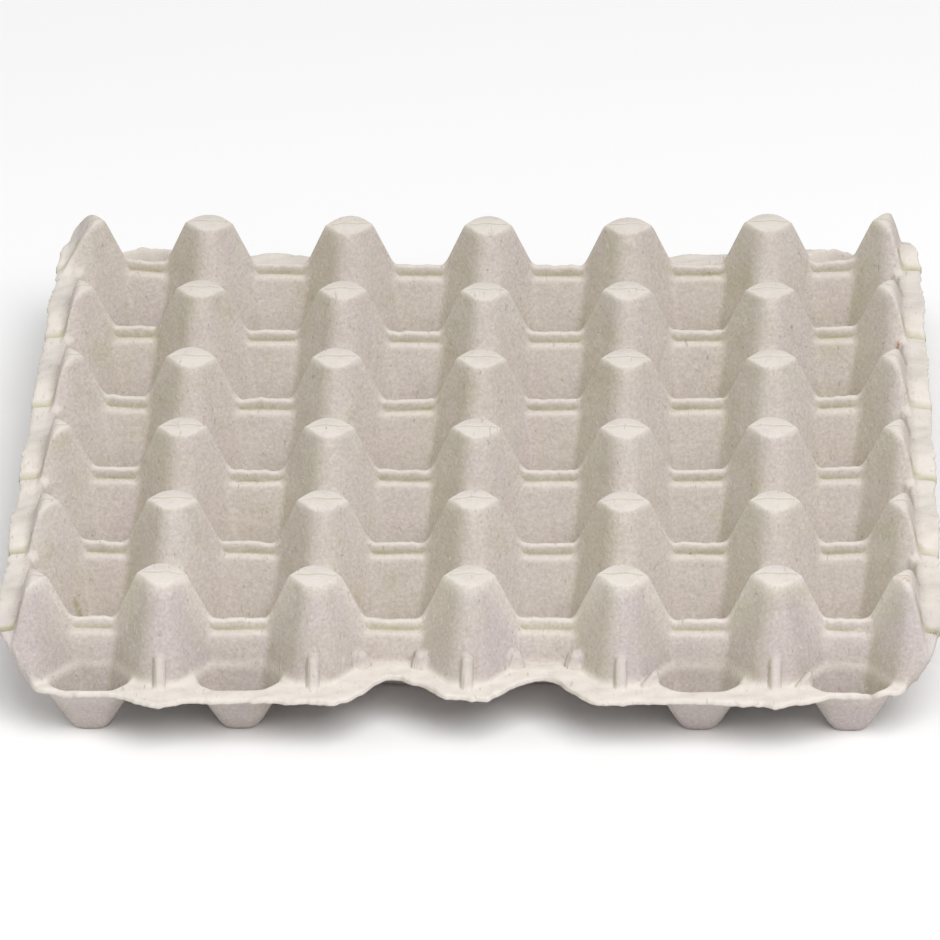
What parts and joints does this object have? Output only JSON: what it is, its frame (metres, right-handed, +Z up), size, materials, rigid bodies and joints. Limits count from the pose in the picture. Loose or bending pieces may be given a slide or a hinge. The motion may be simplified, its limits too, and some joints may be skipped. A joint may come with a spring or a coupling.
{
  "type": "egg tray",
  "caption": "Open moulded-pulp egg tray: a grid of tapering cells between tall hollow posts, with finger notches in its front and back rims.",
  "frame": {"origin": "middle of the tray on the plane that its cell floors and feet stand on", "axes": "+Z up, +X along the six cells of a row, +Y along the five rows towards the back rim"},
  "size_m": [0.2926, 0.2976, 0.047],
  "materials": {
    "pulp": "matte, fibrous, warm grey"
  },
  "bodies": {
    "root": {"cell_row1_column1": "pulp", "cell_row1_column2": "pulp", "cell_row1_column3": "pulp", "cell_row1_column4": "pulp", "cell_row1_column5": "pulp", "cell_row1_column6": "pulp", "cell_row2_column1": "pulp", "cell_row2_column2": "pulp", "cell_row2_column3": "pulp", "cell_row2_column4": "pulp", "cell_row2_column5": "pulp", "cell_row2_column6": "pulp", "cell_row3_column1": "pulp", "cell_row3_column2": "pulp", "cell_row3_column3": "pulp", "cell_row3_column4": "pulp", "cell_row3_column5": "pulp", "cell_row3_column6": "pulp", "cell_row4_column1": "pulp", "cell_row4_column2": "pulp", "cell_row4_column3": "pulp", "cell_row4_column4": "pulp", "cell_row4_column5": "pulp", "cell_row4_column6": "pulp", "cell_row5_column1": "pulp", "cell_row5_column2": "pulp", "cell_row5_column3": "pulp", "cell_row5_column4": "pulp", "cell_row5_column5": "pulp", "cell_row5_column6": "pulp", "back_rim_left": "pulp", "back_rim_middle": "pulp", "back_rim_right": "pulp", "front_rim_left": "pulp", "front_rim_middle": "pulp", "front_rim_right": "pulp", "left_rim": "pulp", "right_rim": "pulp"}
  },
  "joints": []
}
